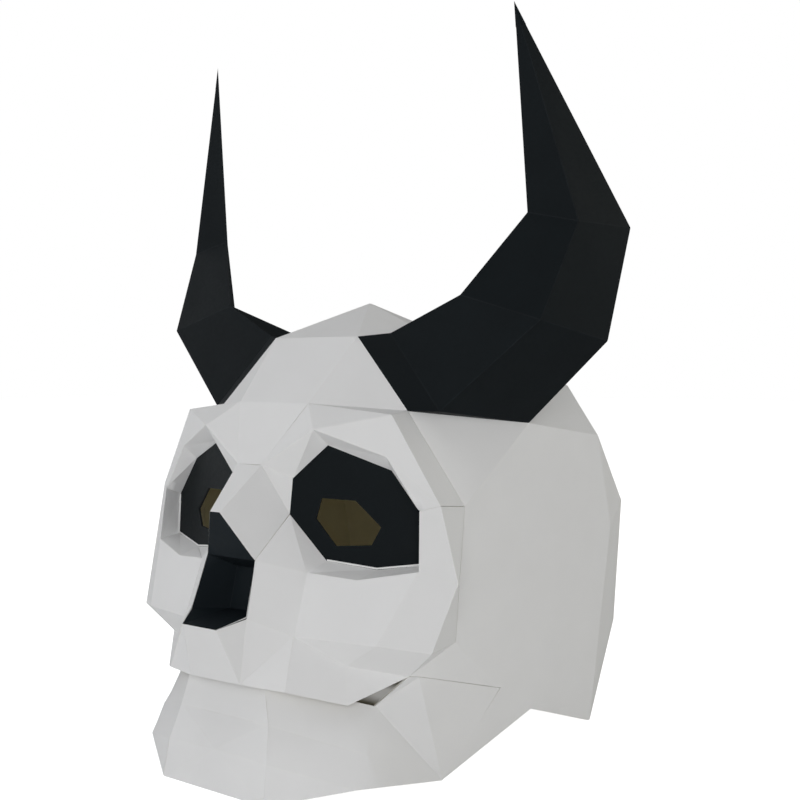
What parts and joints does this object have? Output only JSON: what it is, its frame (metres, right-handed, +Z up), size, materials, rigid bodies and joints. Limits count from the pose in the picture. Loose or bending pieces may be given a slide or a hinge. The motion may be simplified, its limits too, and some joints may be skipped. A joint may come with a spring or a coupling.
{
  "type": "horned paper skull mask",
  "caption": "Full-head skull mask folded from white card, with black card horns, eye panels with see-through holes, a black nose cavity and a lower jaw, open underneath for the head.",
  "frame": {"origin": "middle of the bounding box on the surface that the mask stands on", "axes": "+Z up, -Y towards the front of the face, +X towards the wearer's left"},
  "size_m": [0.3148, 0.2913, 0.4145],
  "materials": {
    "white_card": "matt white card",
    "black_card": "matt black card"
  },
  "bodies": {
    "root": {"skull_cap": "white_card", "back_panel": "white_card", "upper_jaw": "white_card", "nose_bridge": "white_card", "nose_lining": "black_card", "chin": "white_card", "side_panel_left": "white_card", "side_panel_right": "white_card", "brow_left": "white_card", "brow_right": "white_card", "temple_band_left": "white_card", "temple_band_right": "white_card", "cheek_band_left": "white_card", "cheek_band_right": "white_card", "cheek_left": "white_card", "cheek_right": "white_card", "eye_panel_left": "black_card", "eye_panel_right": "black_card", "jaw_side_left": "white_card", "jaw_side_right": "white_card", "horn_left": "black_card", "horn_right": "black_card"}
  },
  "joints": []
}
